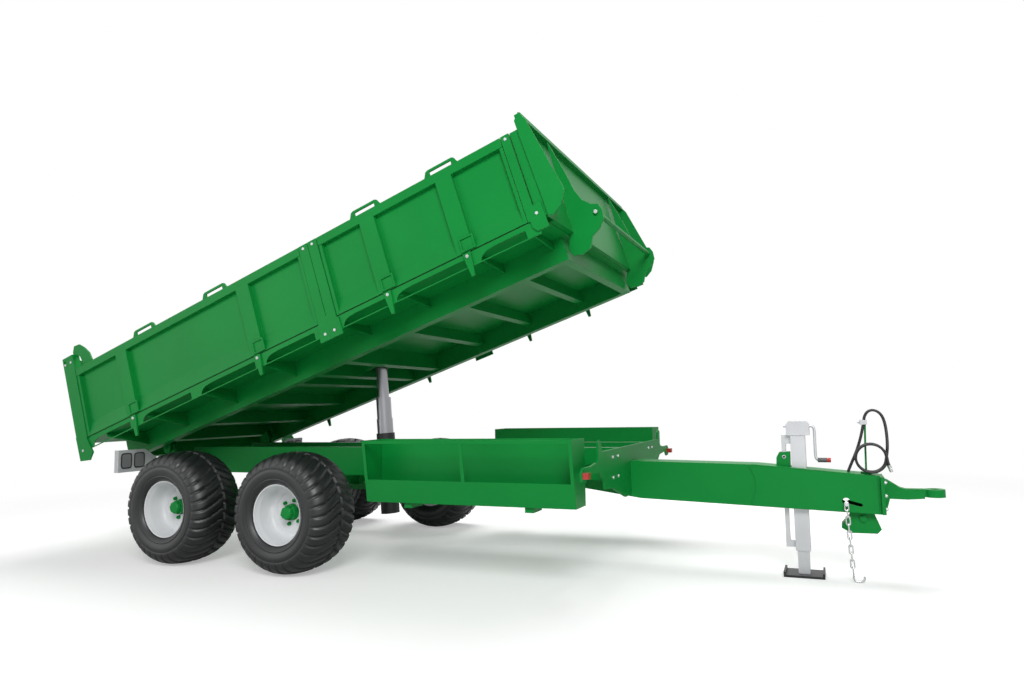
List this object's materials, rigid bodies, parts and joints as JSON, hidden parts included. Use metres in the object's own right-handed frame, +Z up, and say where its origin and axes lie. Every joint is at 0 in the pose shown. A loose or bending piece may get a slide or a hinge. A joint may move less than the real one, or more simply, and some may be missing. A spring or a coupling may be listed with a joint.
{
  "type": "dump trailer",
  "caption": "Tandem-axle tipping trailer with hinged drop sides, tailgate, side tool boxes, drawbar with towing ring and a crank jack, bed part raised.",
  "frame": {"origin": "on the ground under the middle of the whole trailer's box", "axes": "+X forward along the drawbar, +Y to the left side, +Z up"},
  "size_m": [6.9687, 2.52, 3.1316],
  "materials": {
    "green_paint": "gloss",
    "tyre": "matt",
    "rim_grey": "satin",
    "cylinder_steel": "satin",
    "black_paint": "satin",
    "galvanised": "matt",
    "red_lens": "gloss",
    "pale_grey": "satin"
  },
  "bodies": {
    "chassis": {"chassis_frame": "green_paint", "front_bolster": "green_paint", "marker_lamps": "red_lens", "drawbar": "green_paint", "tow_coupling": "green_paint", "hitch_bracket": "green_paint", "jack_outer": "galvanised", "tool_box_right": "green_paint", "tool_box_left": "green_paint", "lamp_boards": "pale_grey", "walking_beams": "green_paint", "beam_shaft": "green_paint", "hose_holder": "green_paint", "rear_lamps": "red_lens", "jack_bracket": "green_paint", "safety_chain": "galvanised"},
    "bed": {"bed_frame": "green_paint", "bed_floor": "green_paint", "bed_posts": "green_paint", "side_latches": "green_paint", "headboard": "green_paint"},
    "tailgate": {"tailgate": "green_paint"},
    "side_rear_right": {"side_rear_right": "green_paint"},
    "side_rear_left": {"side_rear_left": "green_paint"},
    "side_front_right": {"side_front_right": "green_paint"},
    "side_front_left": {"side_front_left": "green_paint"},
    "cylinder_barrel": {"cylinder_barrel": "black_paint"},
    "cylinder_stage_one": {"cylinder_stage_one": "cylinder_steel"},
    "cylinder_stage_two": {"cylinder_stage_two": "cylinder_steel"},
    "cylinder_stage_three": {"cylinder_stage_three": "cylinder_steel"},
    "jack_leg": {"jack_leg": "galvanised"},
    "jack_crank": {"jack_crank": "black_paint"},
    "wheel_rear_right": {"tyre_rear_right": "tyre", "rim_rear_right": "rim_grey", "hub_rear_right": "green_paint"},
    "wheel_front_right": {"tyre_front_right": "tyre", "rim_front_right": "rim_grey", "hub_front_right": "green_paint"},
    "wheel_rear_left": {"tyre_rear_left": "tyre", "rim_rear_left": "rim_grey", "hub_rear_left": "green_paint"},
    "wheel_front_left": {"tyre_front_left": "tyre", "rim_front_left": "rim_grey", "hub_front_left": "green_paint"}
  },
  "joints": [
    {"name": "spin_rear_right", "type": "hinge", "parent": "chassis", "child": "wheel_rear_right", "pos_m": [-2.127, -1.035, 0.45], "axis": [0, 1, 0], "continuous": true},
    {"name": "spin_front_right", "type": "hinge", "parent": "chassis", "child": "wheel_front_right", "pos_m": [-0.961, -1.035, 0.45], "axis": [0, 1, 0], "continuous": true},
    {"name": "spin_rear_left", "type": "hinge", "parent": "chassis", "child": "wheel_rear_left", "pos_m": [-2.127, 1.035, 0.45], "axis": [0, 1, 0], "continuous": true},
    {"name": "spin_front_left", "type": "hinge", "parent": "chassis", "child": "wheel_front_left", "pos_m": [-0.961, 1.035, 0.45], "axis": [0, 1, 0], "continuous": true},
    {"name": "bed_tip", "type": "hinge", "parent": "chassis", "child": "bed", "pos_m": [-2.844, 0, 0.9], "axis": [0, -1, 0], "range_deg": [-17.9, 27.1]},
    {"name": "gate_swing", "type": "hinge", "parent": "bed", "child": "tailgate", "pos_m": [-3.44767, 0, 1.68233], "axis": [0, 1, 0], "range_deg": [0, 100]},
    {"name": "side_rear_right_swing", "type": "hinge", "parent": "bed", "child": "side_rear_right", "pos_m": [-2.04006, -1.16, 1.98985], "axis": [-0.9516, 0, -0.3074], "range_deg": [0, 95]},
    {"name": "side_front_right_swing", "type": "hinge", "parent": "bed", "child": "side_front_right", "pos_m": [0.14861, -1.16, 2.69677], "axis": [-0.9516, 0, -0.3074], "range_deg": [0, 95]},
    {"name": "side_rear_left_swing", "type": "hinge", "parent": "bed", "child": "side_rear_left", "pos_m": [-2.04006, 1.16, 1.98985], "axis": [0.9516, 0, 0.3074], "range_deg": [0, 95]},
    {"name": "side_front_left_swing", "type": "hinge", "parent": "bed", "child": "side_front_left", "pos_m": [0.14861, 1.16, 2.69677], "axis": [0.9516, 0, 0.3074], "range_deg": [0, 95]},
    {"name": "cylinder_lean", "type": "hinge", "parent": "chassis", "child": "cylinder_barrel", "pos_m": [-0.861, 0, 0.76], "axis": [0, -1, 0], "range_deg": [-10.8, 16.4]},
    {"name": "cylinder_slide_one", "type": "slide", "parent": "cylinder_barrel", "child": "cylinder_stage_one", "axis": [-0.0705, 0, 0.9975], "range_m": [-0.2018, 0.3052]},
    {"name": "cylinder_slide_two", "type": "slide", "parent": "cylinder_stage_one", "child": "cylinder_stage_two", "axis": [-0.0705, 0, 0.9975], "range_m": [-0.2018, 0.3052]},
    {"name": "cylinder_slide_three", "type": "slide", "parent": "cylinder_stage_two", "child": "cylinder_stage_three", "axis": [-0.0705, 0, 0.9975], "range_m": [-0.2028, 0.3068]},
    {"name": "jack_slide", "type": "slide", "parent": "chassis", "child": "jack_leg", "axis": [0, 0, 1], "range_m": [-0.35, 0.14]},
    {"name": "jack_crank_turn", "type": "hinge", "parent": "chassis", "child": "jack_crank", "pos_m": [2.601, 0, 1.023], "axis": [1, 0, 0], "continuous": true}
  ],
  "couplings": [
    {"joint": "cylinder_lean", "follows": "bed_tip", "ratio": 0.6},
    {"joint": "cylinder_slide_one", "follows": "bed_tip", "m_per_rad": 0.644},
    {"joint": "cylinder_slide_two", "follows": "bed_tip", "m_per_rad": 0.644},
    {"joint": "cylinder_slide_three", "follows": "bed_tip", "m_per_rad": 0.64744}
  ]
}
